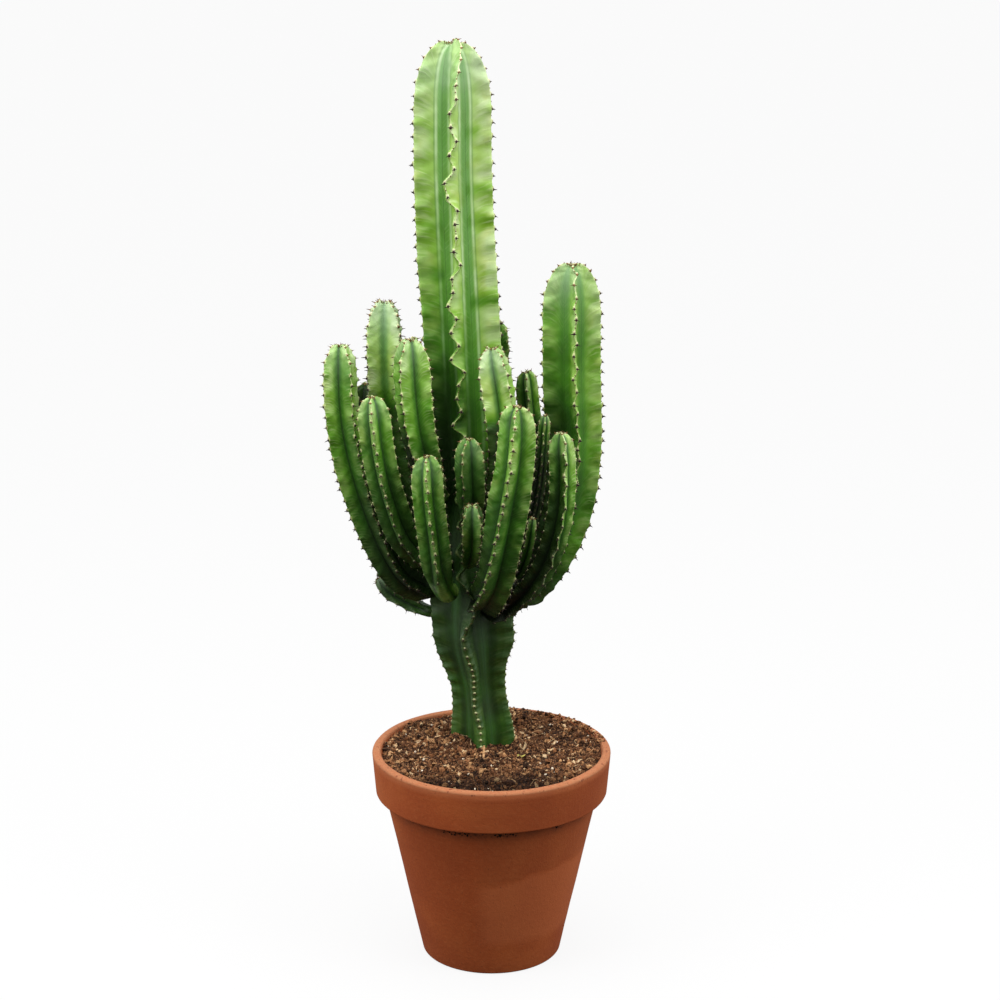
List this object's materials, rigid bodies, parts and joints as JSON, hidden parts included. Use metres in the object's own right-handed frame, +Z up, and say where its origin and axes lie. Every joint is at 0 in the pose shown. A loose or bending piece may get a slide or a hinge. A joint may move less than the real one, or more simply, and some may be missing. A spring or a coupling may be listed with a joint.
{
  "type": "potted candelabra euphorbia",
  "caption": "Succulent with a tall ribbed column and a crown of upright spined branches, growing in soil in a round banded terracotta pot.",
  "frame": {"origin": "centre of the pot's underside, on the plane the pot stands on", "axes": "+Z up along the pot's own axis, -Y toward the viewer of the picture, +X to the viewer's right"},
  "size_m": [0.2972, 0.2548, 0.9548],
  "materials": {
    "terracotta": "matte",
    "potting_soil": "matte",
    "main_stem_green": "satin",
    "branch_green": "satin"
  },
  "bodies": {
    "root": {"pot": "terracotta", "soil": "potting_soil", "main_stem": "main_stem_green", "branch_left_outer": "branch_green", "branch_left_tall": "branch_green", "branch_left_inner": "branch_green", "branch_left_front": "branch_green", "branch_left_low": "branch_green", "branch_front_left": "branch_green", "branch_front_upper": "branch_green", "branch_front_small": "branch_green", "branch_front_right": "branch_green", "branch_right_inner": "branch_green", "branch_right_slim": "branch_green", "branch_right_tall": "branch_green", "branch_right_front": "branch_green", "branch_right_sprout": "branch_green", "branch_back_right_tall": "branch_green", "branch_back_right": "branch_green", "branch_back_left_outer": "branch_green", "branch_back_left": "branch_green", "branch_back_centre": "branch_green"}
  },
  "joints": []
}
